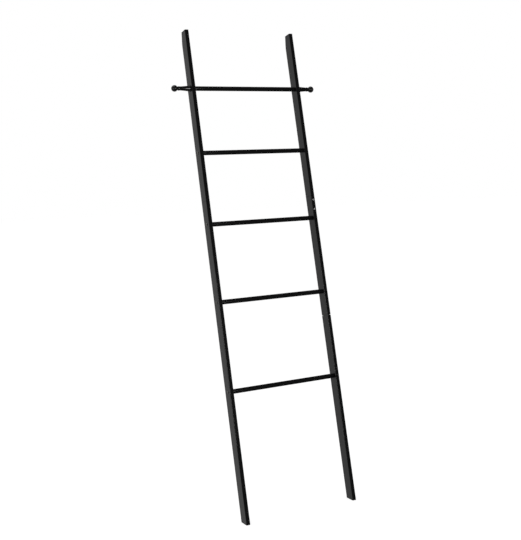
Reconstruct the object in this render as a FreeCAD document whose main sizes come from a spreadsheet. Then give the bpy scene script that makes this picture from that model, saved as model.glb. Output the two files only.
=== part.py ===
import FreeCAD, Part
import math
import os
import re
import Sketcher

# Leaning blanket ladder. Two rails of flat rectangular tube, each in three lengths that slide over a
# flat oval tube inside each seam, carry five round rungs. The ladder leans back on a wall: its feet are
# cut level with the floor and its tops are bevelled to lie flat on the wall.
#
# Each piece is drawn in the ladder's own directions, X across, Y towards its back and Z up the rail from
# the floor, and then leaned back as a whole. The model's origin is on the floor, midway between the
# rails and midway between the front of the feet and the wall. +Z is up and +Y points at the wall.

DRIVING_SIZES = [
    # the whole ladder
    ("rail_length", 1795, "rail, floor to top, along its centre line"),
    ("rail_span", 455, "outer face to outer face of the two rails"),
    ("lean", 10, "degrees that the ladder leans back"),
    # rail tube
    ("rail_depth", 42, "rail tube, front to back"),
    ("rail_breadth", 15, "rail tube, side to side"),
    ("rail_wall", 1.2, "rail tube's wall"),
    ("rail_corner", 1.6, "outside radius of the tube's corners"),
    ("least_corner", 0.3, "smallest inside corner that a tube can have"),
    # seams and the joiners inside them
    ("lower_seam", 690, "height of the lower seam up the rail"),
    ("upper_seam", 1150, "height of the upper seam up the rail"),
    ("seam_gap", 0.4, "gap at a seam that is pushed home"),
    ("open_seam_gap", 1.6, "gap at the right rail's lower seam"),
    ("joiner_length", 130, "joiner tube, half of it each side of its seam"),
    ("joiner_wall", 1.2, "joiner tube's wall"),
    ("sliding_fit", 0.2, "play all round a joiner or a plug inside the rail"),
    # rungs, with their heights up the rail
    ("lowest_rung", 460, "height of the lowest rung"),
    ("second_rung", 781, "height of the second rung"),
    ("third_rung", 1066, "height of the third rung"),
    ("fourth_rung", 1332, "height of the fourth rung"),
    ("top_rung_drop", 219, "rail's top down to the top rung"),
    ("rung_diameter", 17, "rung tube"),
    ("rung_wall", 1.2, "rung tube's wall"),
    ("plug_length", 18, "threaded plug in a rung's end"),
    ("plug_recess", 0.5, "plug's face behind the rung's end"),
    ("press_gap", 0.05, "gap left round a pressed plug"),
    # rung screws
    ("bolt_diameter", 6, "rung screw's and finial stud's thread"),
    ("bolt_clearance", 0.2, "gap round a thread in a plain hole"),
    ("thread_gap", 0.05, "gap round a thread in a threaded hole"),
    ("bolt_grip", 14, "how far a thread reaches into a rung's end"),
    ("head_diameter", 11, "rung screw's round head"),
    ("head_height", 3.2, "rung screw's round head"),
    ("head_rim", 0.8, "straight rim under the head's bevel"),
    ("head_flat", 6.8, "flat on the head's crown"),
    ("socket_width", 4, "hexagon socket, across its flats"),
    ("socket_depth", 2, "hexagon socket"),
    # joiner screws
    ("near_screw", 17, "upper seam to the nearer joiner screw"),
    ("far_screw", 53, "upper seam to the further joiner screw"),
    ("small_diameter", 4, "joiner screw's thread"),
    ("small_reach", 6, "joiner screw under its head"),
    ("small_head", 7.6, "joiner screw's round head, across"),
    ("small_head_height", 2.2, "joiner screw's round head"),
    ("small_rim", 0.6, "straight rim under the small head's bevel"),
    ("small_flat", 4.6, "flat on the small head's crown"),
    ("small_socket", 2.5, "small hexagon socket, across its flats"),
    ("small_socket_depth", 1.3, "small hexagon socket"),
    # finials on the top rung's line, measured out from the rail's outer face
    ("flange_diameter", 25, "flange on the rail"),
    ("flange_thickness", 2, "flange on the rail"),
    ("cone_diameter", 21.5, "neck where it leaves the flange"),
    ("neck_diameter", 14.4, "neck at its narrow end"),
    ("neck_reach", 42, "rail to the neck's narrow end"),
    ("cone_hollow", 0.4, "how far the neck's outline dips in"),
    ("bead_width", 4.5, "bead round the neck's narrow end"),
    ("bead_rise", 1.1, "bead's height over the neck"),
    ("ball_diameter", 24, "ball"),
    ("ball_reach", 60.5, "rail to the ball's centre"),
    ("stud_depth", 16, "threaded hole in the finial"),
    ("stud_end_gap", 1.5, "stud's end to the bottom of that hole"),
    # feet
    ("sole_thickness", 3, "foot's sole under the rail"),
    ("sole_edge", 0.8, "rounding of the sole's lower edge"),
    ("foot_core", 28, "foot's plug, up from the floor"),
    # top caps
    ("cap_thickness", 3, "cap over the rail's top"),
    ("cap_edge", 1, "rounding of the cap's top edge"),
    ("cap_core", 60, "cap's plug, down from the top"),
    ("bevel_length", 50, "flat that lies on the wall, down from the top"),
    ("pad_proud", 0.5, "cap's plug stands this far out of the cut tube"),
]

TOP_RUNG = "(rail_length - top_rung_drop)"
RUNGS = ["lowest_rung", "second_rung", "third_rung", "fourth_rung", TOP_RUNG]
JOINER_SCREW_DROPS = ["near_screw", "far_screw"]
SIDES = {"left": -1, "right": 1}

# Heights up the rail, front to back places and half sizes that several pieces share.
INNER_CORNER = "max(rail_corner - rail_wall; least_corner)"
CORE_DEPTH = "rail_depth - 2 * rail_wall - 2 * sliding_fit"
CORE_BREADTH = "rail_breadth - 2 * rail_wall - 2 * sliding_fit"
FLAT_OVAL = "((%s) / 2 - least_corner)" % CORE_BREADTH
BELOW_FLOOR = "rail_depth * tan(lean)"
BEHIND = "2 * rail_depth"
ROUNDED_OFF = "sole_edge * (1 / tan(45 - lean / 2) - 1)"
FRONT_OF_FEET = "(rail_depth / 2 / cos(lean) - %s)" % ROUNDED_OFF
BEVEL_START = "(rail_length - bevel_length)"
WALL_PLANE = "(%s * sin(lean) + rail_depth / 2 * cos(lean))" % BEVEL_START
SETBACK = "(%s - %s) / 2" % (FRONT_OF_FEET, WALL_PLANE)
RAIL_MIDDLE = "(rail_span - rail_breadth) / 2"
RUNG_END = "(rail_span / 2 - rail_breadth)"
FULL_TURN = 360
HEXAGON_SIDES = 6
CLOSE = 1e-4

doc = FreeCAD.newDocument("BlanketLadder")
sheet = doc.addObject("Spreadsheet::Sheet", "Sizes")
for row, (alias, number, note) in enumerate(DRIVING_SIZES, start=1):
    sheet.set("A%d" % row, alias)
    sheet.set("B%d" % row, str(number))
    sheet.setAlias("B%d" % row, alias)
    sheet.set("C%d" % row, note)
doc.recompute()

ALIAS = re.compile(r"\b(%s)\b" % "|".join(alias for alias, number, note in DRIVING_SIZES))


# ---------------------------------------------------------------- expressions and placing

def bound(expression):
    """The expression with each size's name pointing at its cell."""
    return ALIAS.sub(r"Sizes.\1", expression)


def value(expression):
    """What an expression comes to, in millimetres."""
    return float(sheet.evalExpression(bound(expression)))


def new_body(name, across, up="0", back="0"):
    """A piece in the ladder's directions, placed across it, up the rail and towards its back."""
    body = doc.addObject("PartDesign::Body", name)
    body.Label = name
    body.Placement = FreeCAD.Placement(
        FreeCAD.Vector(0, 0, 0), FreeCAD.Rotation(FreeCAD.Vector(-1, 0, 0), value("lean")))
    body.setExpression("Placement.Base.x", bound(across))
    body.setExpression("Placement.Base.y", bound(
        "(%s) * sin(lean) + (%s) * cos(lean) + %s" % (up, back, SETBACK)))
    body.setExpression("Placement.Base.z", bound("(%s) * cos(lean) - (%s) * sin(lean)" % (up, back)))
    body.setExpression("Placement.Rotation.Angle", bound("lean"))
    return body


# ---------------------------------------------------------------- sketches

def new_sketch(body, plane, lift=None):
    """A sketch on one of the body's own planes, lifted along the plane's normal."""
    sketch = body.newObject("Sketcher::SketchObject", body.Name + "_sketch")
    flat = next(item for item in body.Origin.OriginFeatures if item.Role == plane)
    sketch.AttachmentSupport = [(flat, "")]
    sketch.MapMode = "FlatFace"
    if lift is not None:
        sketch.setExpression("AttachmentOffset.Base.z", bound(lift))
    return sketch


def bind(sketch, constraint, expression):
    """Adds a dimension to the sketch and ties it to its expression."""
    index = sketch.addConstraint(constraint)
    name = "size%d" % index
    sketch.renameConstraint(index, name)
    sketch.setExpression("Constraints." + name, bound(expression))


def lock(sketch, edge, point, x, y):
    """Holds one point of an edge at two expressions, or on an axis where one is 0."""
    if x == "0":
        sketch.addConstraint(Sketcher.Constraint("PointOnObject", edge, point, -2))
    else:
        bind(sketch, Sketcher.Constraint("DistanceX", -1, 1, edge, point, value(x)), x)
    if y == "0":
        sketch.addConstraint(Sketcher.Constraint("PointOnObject", edge, point, -1))
    else:
        bind(sketch, Sketcher.Constraint("DistanceY", -1, 1, edge, point, value(y)), y)


def draw_circle(sketch, x, y, diameter):
    """A circle whose centre and diameter are expressions."""
    centre = FreeCAD.Vector(value(x), value(y), 0)
    circle = sketch.addGeometry(
        Part.Circle(centre, FreeCAD.Vector(0, 0, 1), value(diameter) / 2), False)
    lock(sketch, circle, 3, x, y)
    bind(sketch, Sketcher.Constraint("Diameter", circle, value(diameter)), diameter)


def arc_between(start, end, radius, bulge):
    """The shorter arc from start to end, bulging to the left of the way there, or right if -1."""
    chord = end - start
    half = chord.Length / 2
    across = FreeCAD.Vector(-chord.y, chord.x, 0).normalize()
    rise = radius - math.sqrt(max(radius * radius - half * half, 0))
    crown = start + chord * 0.5 + across * (rise * bulge)
    return Part.Arc(start, crown, end)


def draw_outline(sketch, corners):
    """A closed outline. A corner is (x, y), or (x, y, radius, bulge) where an arc leaves it."""
    places = [FreeCAD.Vector(value(corner[0]), value(corner[1]), 0) for corner in corners]
    following = places[1:] + places[:1]
    edges = []
    for corner, start, end in zip(corners, places, following):
        if len(corner) > 2:
            edges.append(sketch.addGeometry(arc_between(start, end, value(corner[2]), corner[3]), False))
        else:
            edges.append(sketch.addGeometry(Part.LineSegment(start, end), False))
    starts = [end_points(sketch, edge, place) for edge, place in zip(edges, places)]
    for this, (edge, corner) in enumerate(zip(edges, corners)):
        before = this - 1
        sketch.addConstraint(Sketcher.Constraint(
            "Coincident", edges[before], starts[before][1], edge, starts[this][0]))
        lock(sketch, edge, starts[this][0], corner[0], corner[1])
        if len(corner) > 2:
            bind(sketch, Sketcher.Constraint("Radius", edge, value(corner[2])), corner[2])


def end_points(sketch, edge, start):
    """Numbers of an edge's first and last point along the outline."""
    if sketch.getPoint(edge, 1).distanceToPoint(start) < CLOSE:
        return 1, 2
    return 2, 1


def draw_tube_section(sketch, breadth, depth, corner):
    """A rectangle with rounded corners round the sketch's origin."""
    half_x, half_y, radius = value(breadth) / 2, value(depth) / 2, value(corner)
    in_x, in_y = half_x - radius, half_y - radius
    spots = [(in_x, -in_y, 270), (in_x, in_y, 0), (-in_x, in_y, 90), (-in_x, -in_y, 180)]
    signs = [(1, -1), (1, 1), (-1, 1), (-1, -1)]
    arcs = []
    for x, y, first_angle in spots:
        centre = FreeCAD.Vector(x, y, 0)
        circle = Part.Circle(centre, FreeCAD.Vector(0, 0, 1), radius)
        turn = math.radians(first_angle)
        arcs.append(sketch.addGeometry(Part.ArcOfCircle(circle, turn, turn + math.pi / 2), False))
    for this, arc in enumerate(arcs):
        after = arcs[(this + 1) % len(arcs)]
        line = sketch.addGeometry(
            Part.LineSegment(sketch.getPoint(arc, 2), sketch.getPoint(after, 1)), False)
        sketch.addConstraint(Sketcher.Constraint("Tangent", arc, 2, line, 1))
        sketch.addConstraint(Sketcher.Constraint("Tangent", line, 2, after, 1))
    for arc, (sign_x, sign_y) in zip(arcs, signs):
        lock(sketch, arc, 3, "%d * ((%s) / 2 - %s)" % (sign_x, breadth, corner),
             "%d * ((%s) / 2 - %s)" % (sign_y, depth, corner))
        bind(sketch, Sketcher.Constraint("Radius", arc, radius), corner)


# ---------------------------------------------------------------- features

def add_pad(body, sketch, length, both_ways=False, backwards=False):
    """Material from a sketch."""
    pad = body.newObject("PartDesign::Pad", body.Name + "_pad")
    pad.Profile = sketch
    pad.SideType = "Symmetric" if both_ways else "One side"
    pad.Reversed = backwards
    pad.setExpression("Length", bound(length))
    return pad


def add_cut(body, sketch, depth=None, backwards=False):
    """A cut from a sketch: right through both ways, or one way to a depth."""
    cut = body.newObject("PartDesign::Pocket", body.Name + "_cut")
    cut.Profile = sketch
    if depth is None:
        cut.Type = "ThroughAll"
        cut.SideType = "Symmetric"
    else:
        cut.Reversed = backwards
        cut.setExpression("Length", bound(depth))
    return cut


def add_turned(body, corners, along="X"):
    """A turned piece: its half outline, along and away from the body's X axis or its Y axis."""
    sketch = new_sketch(body, "XY_Plane")
    if along == "Y":
        corners = [swap_axes(corner) for corner in corners]
    draw_outline(sketch, corners)
    turned = body.newObject("PartDesign::Revolution", body.Name + "_turned")
    turned.Profile = sketch
    turned.ReferenceAxis = (sketch, ["H_Axis" if along == "X" else "V_Axis"])
    turned.Angle = FULL_TURN
    return turned


def swap_axes(corner):
    """A corner of an outline mirrored from one axis to the other, and its arc with it."""
    x, y, *arc = corner
    return (y, x, arc[0], -arc[1]) if arc else (y, x)


def edges_at(shape, test):
    """Names of the edges all of whose points pass a test."""
    names = []
    for number, edge in enumerate(shape.Edges, start=1):
        if all(test(point) for point in edge.discretize(5)):
            names.append("Edge%d" % number)
    return names


def round_edges(body, base, size, test):
    """Rounds the edges of the last feature that pass a test."""
    doc.recompute()
    names = edges_at(base.Shape, test)
    if not names:
        raise ValueError("%s has no edge to round" % body.Name)
    rounded = body.newObject("PartDesign::Fillet", body.Name + "_round")
    rounded.Base = (base, names)
    rounded.setExpression("Radius", bound(size))
    return rounded


# ---------------------------------------------------------------- rails

def floor_line(height, reach):
    """Height up the rail, at a place front to back, of a level plane over the floor."""
    return "((%s) + (%s) * sin(lean)) / cos(lean)" % (height, reach)


def wall_line(up, inwards):
    """Place front to back, at a height up the rail, of a plane parallel to the wall."""
    return "rail_depth / 2 - ((%s) - %s) * tan(lean) - (%s) / cos(lean)" % (up, BEVEL_START, inwards)


def cut_below(body, height):
    """Takes away what lies under a level plane."""
    sketch = new_sketch(body, "YZ_Plane")
    front, back = "-" + BEHIND, BEHIND
    draw_outline(sketch, [
        (front, "-" + BEHIND),
        (back, "-" + BEHIND),
        (back, floor_line(height, back)),
        (front, floor_line(height, front))])
    return add_cut(body, sketch)


def cut_behind(body, inwards):
    """Takes away what lies behind a plane parallel to the wall, near the rail's top."""
    sketch = new_sketch(body, "YZ_Plane")
    low = "rail_length - bevel_length - rail_depth"
    high = "rail_length + rail_depth"
    draw_outline(sketch, [
        (wall_line(low, inwards), low),
        (BEHIND, low),
        (BEHIND, high),
        (wall_line(high, inwards), high)])
    return add_cut(body, sketch)


def add_tube(body, start, end, breadth, depth, wall, corner):
    """Straight tube between two heights, with an even wall round its corners."""
    hollow = "max(%s - %s; least_corner)" % (corner, wall)
    sketch = new_sketch(body, "XY_Plane", start)
    draw_tube_section(sketch, breadth, depth, corner)
    draw_tube_section(sketch, breadth + " - 2 * " + wall, depth + " - 2 * " + wall, hollow)
    return add_pad(body, sketch, "(%s) - (%s)" % (end, start))


def drill_for_rungs(body):
    """Plain holes from side to side for those of the rungs' screws that pass through the piece."""
    sketch = new_sketch(body, "YZ_Plane")
    for height in RUNGS:
        draw_circle(sketch, "0", height, "bolt_diameter + 2 * bolt_clearance")
    return add_cut(body, sketch)


def drill_for_joiner_screws(body, side):
    """Two holes in the wall that holds the joiner screws: front on the right, back on the left."""
    sketch = new_sketch(body, "XZ_Plane")
    for drop in JOINER_SCREW_DROPS:
        draw_circle(sketch, "0", "upper_seam - " + drop, "small_diameter + 2 * thread_gap")
    return add_cut(body, sketch, "rail_depth", backwards=side > 0)


def build_rail(label, side):
    """One rail's three lengths and the two joiners inside it."""
    across = "%d * %s" % (side, RAIL_MIDDLE)
    lower_gap = "open_seam_gap" if side > 0 else "seam_gap"
    tube = ("rail_breadth", "rail_depth", "rail_wall", "rail_corner")
    joiner = (CORE_BREADTH, CORE_DEPTH, "joiner_wall", FLAT_OVAL)

    lower = new_body(label + "_lower_rail", across)
    lower_top = "lower_seam + seam_gap / 2 - " + lower_gap
    add_tube(lower, "-" + BELOW_FLOOR, lower_top, *tube)
    cut_below(lower, "sole_thickness")
    drill_for_rungs(lower)

    middle = new_body(label + "_middle_rail", across)
    add_tube(middle, "lower_seam + seam_gap / 2", "upper_seam - seam_gap / 2", *tube)
    drill_for_rungs(middle)
    drill_for_joiner_screws(middle, side)

    upper = new_body(label + "_upper_rail", across)
    add_tube(upper, "upper_seam + seam_gap / 2", "rail_length - cap_thickness", *tube)
    cut_behind(upper, "pad_proud")
    drill_for_rungs(upper)

    pieces = [lower, middle, upper]
    for seam in ("lower", "upper"):
        piece = new_body("%s_%s_joiner" % (label, seam), across)
        height = seam + "_seam"
        add_tube(piece, height + " - joiner_length / 2", height + " + joiner_length / 2", *joiner)
        drill_for_rungs(piece)
        if seam == "upper":
            drill_for_joiner_screws(piece, side)
        pieces.append(piece)
    return pieces


# ---------------------------------------------------------------- feet and top caps

def build_foot(label, side):
    """A sole cut level with the floor, on a plug that fills the rail's end."""
    foot = new_body(label + "_foot", "%d * %s" % (side, RAIL_MIDDLE))
    sole = new_sketch(foot, "XY_Plane", "-" + BELOW_FLOOR)
    draw_tube_section(sole, "rail_breadth", "rail_depth", "rail_corner")
    add_pad(foot, sole, "foot_core + " + BELOW_FLOOR)

    above = new_sketch(foot, "YZ_Plane")
    front, back, high = "-" + BEHIND, BEHIND, "foot_core + " + BEHIND
    draw_outline(above, [
        (front, floor_line("sole_thickness", front)),
        (back, floor_line("sole_thickness", back)),
        (back, high),
        (front, high)])
    add_cut(foot, above)

    core = new_sketch(foot, "XY_Plane", "-" + BELOW_FLOOR)
    draw_tube_section(core, CORE_BREADTH, CORE_DEPTH, INNER_CORNER)
    add_pad(foot, core, "foot_core + " + BELOW_FLOOR)

    level = cut_below(foot, "0")
    slope = math.tan(math.radians(value("lean")))
    round_edges(foot, level, "sole_edge", lambda point: abs(point.z - point.y * slope) < CLOSE)
    return foot


def build_top_cap(label, side):
    """A plate over the rail's top, on a plug whose bevelled back lies on the wall."""
    cap = new_body(label + "_top_cap", "%d * %s" % (side, RAIL_MIDDLE))
    plate = new_sketch(cap, "XY_Plane", "rail_length - cap_thickness")
    draw_tube_section(plate, "rail_breadth", "rail_depth", "rail_corner")
    add_pad(cap, plate, "cap_thickness")

    core = new_sketch(cap, "XY_Plane", "rail_length - cap_core")
    draw_tube_section(core, CORE_BREADTH, CORE_DEPTH, INNER_CORNER)
    add_pad(cap, core, "cap_core")

    bevel = cut_behind(cap, "0")
    top = value("rail_length")
    round_edges(cap, bevel, "cap_edge", lambda point: abs(point.z - top) < CLOSE)
    return cap


# ---------------------------------------------------------------- rungs and their plugs

def build_rung(number, height):
    """A round tube that butts on the rails' inner faces."""
    rung = new_body("rung_%d" % number, "0", height)
    section = new_sketch(rung, "YZ_Plane")
    draw_circle(section, "0", "0", "rung_diameter")
    draw_circle(section, "0", "0", "rung_diameter - 2 * rung_wall")
    add_pad(rung, section, "2 * " + RUNG_END, both_ways=True)
    return rung


def build_rung_plug(number, height, label, side):
    """A threaded plug pressed into a rung's end."""
    plug = new_body("rung_%d_%s_plug" % (number, label),
                    "%d * (%s - plug_recess)" % (side, RUNG_END), height)
    section = new_sketch(plug, "YZ_Plane")
    draw_circle(section, "0", "0", "rung_diameter - 2 * rung_wall - 2 * press_gap")
    draw_circle(section, "0", "0", "bolt_diameter + 2 * thread_gap")
    add_pad(plug, section, "plug_length", backwards=side > 0)
    return plug


# ---------------------------------------------------------------- screws, studs and finials

def build_screw(screw, outwards, along, sizes):
    """A round-headed screw with a hexagon socket, its head's seat on the body's origin."""
    thread, reach, head, height, rim, flat, socket, depth = sizes
    way = "%d * " % outwards
    half, half_head, half_flat = thread + " / 2", head + " / 2", flat + " / 2"
    add_turned(screw, [
        (way + "-" + reach, "0"),
        (way + "-" + reach, half),
        ("0", half),
        ("0", half_head),
        (way + rim, half_head),
        (way + height, half_flat),
        (way + height, "0")], along)
    # the plane across Y looks forward, the plane across X looks to the right
    plane, facing = ("YZ_Plane", outwards) if along == "X" else ("XZ_Plane", -outwards)
    recess = new_sketch(screw, plane, "%d * %s" % (facing, height))
    corner = "%s / sqrt(3)" % socket
    turns = [FULL_TURN / HEXAGON_SIDES * (number + 0.5) for number in range(HEXAGON_SIDES)]
    draw_outline(recess, [("%s * cos(%g)" % (corner, turn), "%s * sin(%g)" % (corner, turn))
                          for turn in turns])
    add_cut(screw, recess, depth, backwards=facing < 0)
    return screw


RUNG_SCREW = ("bolt_diameter", "(rail_breadth + bolt_grip)", "head_diameter", "head_height",
              "head_rim", "head_flat", "socket_width", "socket_depth")
JOINER_SCREW = ("small_diameter", "small_reach", "small_head", "small_head_height",
                "small_rim", "small_flat", "small_socket", "small_socket_depth")


def build_finial(label, side):
    """Ball, bead, hollowed cone neck and flange, turned in one piece, with a threaded hole."""
    finial = new_body(label + "_finial", "%d * rail_span / 2" % side, TOP_RUNG)
    way = "%d * " % side
    bore = "(bolt_diameter / 2 + thread_gap)"
    neck, cone, flange = "neck_diameter / 2", "cone_diameter / 2", "flange_diameter / 2"
    cone_chord = "((neck_reach - flange_thickness) ^ 2 + (cone_diameter - neck_diameter) ^ 2 / 4)"
    cone_radius = "(%s / 4 + cone_hollow ^ 2) / (2 * cone_hollow)" % cone_chord
    bead_radius = "(bead_width ^ 2 / 4 + bead_rise ^ 2) / (2 * bead_rise)"
    ball_start = "(ball_reach - sqrt(ball_diameter ^ 2 - neck_diameter ^ 2) / 2)"
    add_turned(finial, [
        (way + "stud_depth", "0"),
        (way + "stud_depth", bore),
        ("0", bore),
        ("0", flange),
        (way + "flange_thickness", flange),
        (way + "flange_thickness", cone, cone_radius, -side),
        (way + "neck_reach", neck, bead_radius, side),
        (way + "(neck_reach + bead_width)", neck),
        (way + ball_start, neck, "ball_diameter / 2", side),
        (way + "(ball_reach + ball_diameter / 2)", "0")])
    return finial


def build_finial_stud(label, side):
    """The threaded stud from a finial, through the rail, into the top rung's plug."""
    stud = new_body(label + "_finial_stud", "%d * rail_span / 2" % side, TOP_RUNG)
    half = "bolt_diameter / 2"
    inner = "%d * -(rail_breadth + bolt_grip)" % side
    outer = "%d * (stud_depth - stud_end_gap)" % side
    add_turned(stud, [(inner, "0"), (inner, half), (outer, half), (outer, "0")])
    return stud


# ---------------------------------------------------------------- groups of like fasteners

def group(name, members):
    """Like pieces kept together, each still a solid of its own."""
    bundle = doc.addObject("Part::Compound", name)
    bundle.Label = name
    bundle.Links = members
    return bundle


def build_rung_screws(label, side):
    """A screw through the rail into each of the four lower rungs."""
    outer_face = "%d * rail_span / 2" % side
    screws = []
    for number, height in enumerate(RUNGS[:-1], start=1):
        screw = new_body("%s_rung_screw_%d" % (label, number), outer_face, height)
        screws.append(build_screw(screw, side, "X", RUNG_SCREW))
    return group(label + "_rung_screws", screws)


def build_joiner_screws(label, side):
    """Two small screws that fix the upper joiner: in the right rail's front, the left rail's back."""
    across = "%d * %s" % (side, RAIL_MIDDLE)
    drilled_face = "%d * rail_depth / 2" % -side
    screws = []
    for number, drop in enumerate(JOINER_SCREW_DROPS, start=1):
        height = "upper_seam - " + drop
        screw = new_body("%s_joiner_screw_%d" % (label, number), across, height, drilled_face)
        screws.append(build_screw(screw, -side, "Y", JOINER_SCREW))
    return group(label + "_joiner_screws", screws)


# ---------------------------------------------------------------- the ladder

nodes = []
for label, side in SIDES.items():
    nodes += build_rail(label, side)
    nodes.append(build_foot(label, side))
    nodes.append(build_top_cap(label, side))
    nodes.append(build_rung_screws(label, side))
    nodes.append(build_joiner_screws(label, side))
    nodes.append(build_finial(label, side))

plugs = []
for number, height in enumerate(RUNGS, start=1):
    nodes.append(build_rung(number, height))
    plugs += [build_rung_plug(number, height, label, side) for label, side in SIDES.items()]
nodes.append(group("rung_plugs", plugs))
nodes.append(group("finial_studs", [build_finial_stud(label, side) for label, side in SIDES.items()]))

doc.recompute()
for item in doc.Objects:
    if "Invalid" in item.State or "Error" in item.State:
        raise RuntimeError("%s did not build: %s" % (item.Label, item.State))

os.makedirs("parts", exist_ok=True)
for node in nodes:
    if node.Shape.isNull() or not node.Shape.isValid():
        raise RuntimeError("%s has no sound shape" % node.Label)
for node in nodes:
    node.Shape.exportStep("parts/%s.step" % node.Label)
    print("%-22s solids %d  volume %.1f mm3" % (node.Label, len(node.Shape.Solids), node.Shape.Volume))
print("wall plane at y = %.4f mm" % value("%s + %s" % (WALL_PLANE, SETBACK)))
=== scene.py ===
"""Looks of a leaning blanket ladder: coated tube rails and rungs, turned finials, screws, caps and feet.

Every piece is worked out in the ladder's own plane: across it, towards its back, and up the rail from
the floor. LadderSizes.place turns such a spot into the shared frame. Lengths are in metres.
"""
from __future__ import annotations

import logging
import math
from dataclasses import dataclass, field
from enum import Enum
from typing import Callable, Iterable, Sequence

import bmesh
import bpy
from mathutils import Matrix, Vector

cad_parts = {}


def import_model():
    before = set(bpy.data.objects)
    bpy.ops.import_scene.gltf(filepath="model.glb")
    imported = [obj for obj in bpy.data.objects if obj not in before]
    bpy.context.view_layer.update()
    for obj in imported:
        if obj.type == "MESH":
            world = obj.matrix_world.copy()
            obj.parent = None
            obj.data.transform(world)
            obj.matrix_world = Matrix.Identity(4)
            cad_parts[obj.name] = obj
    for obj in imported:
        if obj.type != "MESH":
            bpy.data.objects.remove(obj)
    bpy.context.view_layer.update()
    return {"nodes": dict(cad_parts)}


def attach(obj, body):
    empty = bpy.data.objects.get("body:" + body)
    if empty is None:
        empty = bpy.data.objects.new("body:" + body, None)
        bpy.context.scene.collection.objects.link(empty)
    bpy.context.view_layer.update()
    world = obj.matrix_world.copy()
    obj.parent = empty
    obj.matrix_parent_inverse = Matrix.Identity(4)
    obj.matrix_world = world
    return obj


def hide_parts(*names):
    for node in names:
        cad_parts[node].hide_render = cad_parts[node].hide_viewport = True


log = logging.getLogger("blanket_ladder")

Pair = tuple[float, float]
Spot = tuple[float, float, float]
Ring = list[Spot]
Inputs = dict[str | int, object]

FULL_TURN = 2.0 * math.pi
ROOT = "root"
WHITE = (1.0, 1.0, 1.0, 1.0)

# A ring of spots no wider than this is a pole, and its spots are merged.
POLE_WIDTH = 1e-7
# Least angle, in degrees, of an edge that stays crisp.
CRISP_ANGLE = 35.0
# The values between which nearly all of a noise lies.
NOISE_LIMITS: Pair = (0.3, 0.7)


# ------------------------------------------------------------------ choices and sizes

class Side(Enum):
    """The two rails, as a person facing the wall sees them."""

    LEFT = -1
    RIGHT = 1

    @property
    def label(self) -> str:
        """The word that this side's pieces start with."""
        return self.name.lower()


class Stretch(Enum):
    """The three lengths that a rail is assembled from."""

    LOWER = "lower"
    MIDDLE = "middle"
    UPPER = "upper"


@dataclass(frozen=True)
class LadderSizes:
    """Sizes that several sub-assemblies share, and the ladder's leaning plane."""

    lean: float = math.radians(10.0)
    rail_length: float = 1.795
    rail_span: float = 0.455
    rail_depth: float = 0.042
    rail_breadth: float = 0.015
    rail_wall: float = 0.0012
    rail_corner: float = 0.0016
    lower_seam: float = 0.690
    upper_seam: float = 1.150
    seam_gap: float = 0.0004
    open_seam_gap: float = 0.0016
    sole_thickness: float = 0.003
    sole_edge: float = 0.0008
    cap_thickness: float = 0.003
    bevel_length: float = 0.050
    pad_proud: float = 0.0005
    rungs: tuple[float, ...] = (0.460, 0.781, 1.066, 1.332, 1.576)

    @property
    def bevel_start(self) -> float:
        """Height up the rail at which the flat for the wall begins."""
        return self.rail_length - self.bevel_length

    @property
    def setback(self) -> float:
        """Where the rails' middle line meets the floor, which is in front of the origin.

        Returns:
            The distance behind the origin, which is less than 0.
        """
        rounded_off = self.sole_edge * (1.0 / math.tan(math.pi / 4 - self.lean / 2) - 1.0)
        front = self.rail_depth / 2 / math.cos(self.lean) - rounded_off
        wall = self.bevel_start * math.sin(self.lean) + self.rail_depth / 2 * math.cos(self.lean)
        return (front - wall) / 2

    @property
    def rail_middle(self) -> float:
        """Distance across from the ladder's middle to a rail's middle."""
        return (self.rail_span - self.rail_breadth) / 2

    @property
    def rung_reach(self) -> float:
        """Distance across from the ladder's middle to a rail's inner face."""
        return self.rail_span / 2 - self.rail_breadth

    def place(self, spot: Spot) -> Vector:
        """Turns a spot in the leaning plane into the shared frame.

        Args:
            spot: distance across, towards the back and up the rail.

        Returns:
            The same spot in the shared frame.
        """
        across, back, up = spot
        sine, cosine = math.sin(self.lean), math.cos(self.lean)
        return Vector((across, self.setback + up * sine + back * cosine, up * cosine - back * sine))

    def turn(self) -> Matrix:
        """Rotation of the leaning plane, as a 3 by 3 matrix."""
        return Matrix.Rotation(-self.lean, 3, "X")

    def above_floor(self, height: float, back: float) -> float:
        """Height up the rail, at a depth, of a level plane that far over the floor."""
        return (height + back * math.sin(self.lean)) / math.cos(self.lean)

    def wall_height(self, back: float, inwards: float) -> float:
        """Height up the rail at which a depth meets a plane that far in front of the wall."""
        reach = self.rail_depth / 2 - inwards / math.cos(self.lean) - back
        return self.bevel_start + reach / math.tan(self.lean)

    def wall_depth(self, up: float, inwards: float) -> float:
        """Depth at which a height up the rail meets a plane that far in front of the wall."""
        rise = (up - self.bevel_start) * math.tan(self.lean)
        return self.rail_depth / 2 - rise - inwards / math.cos(self.lean)


# ------------------------------------------------------------------ meshes

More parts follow.
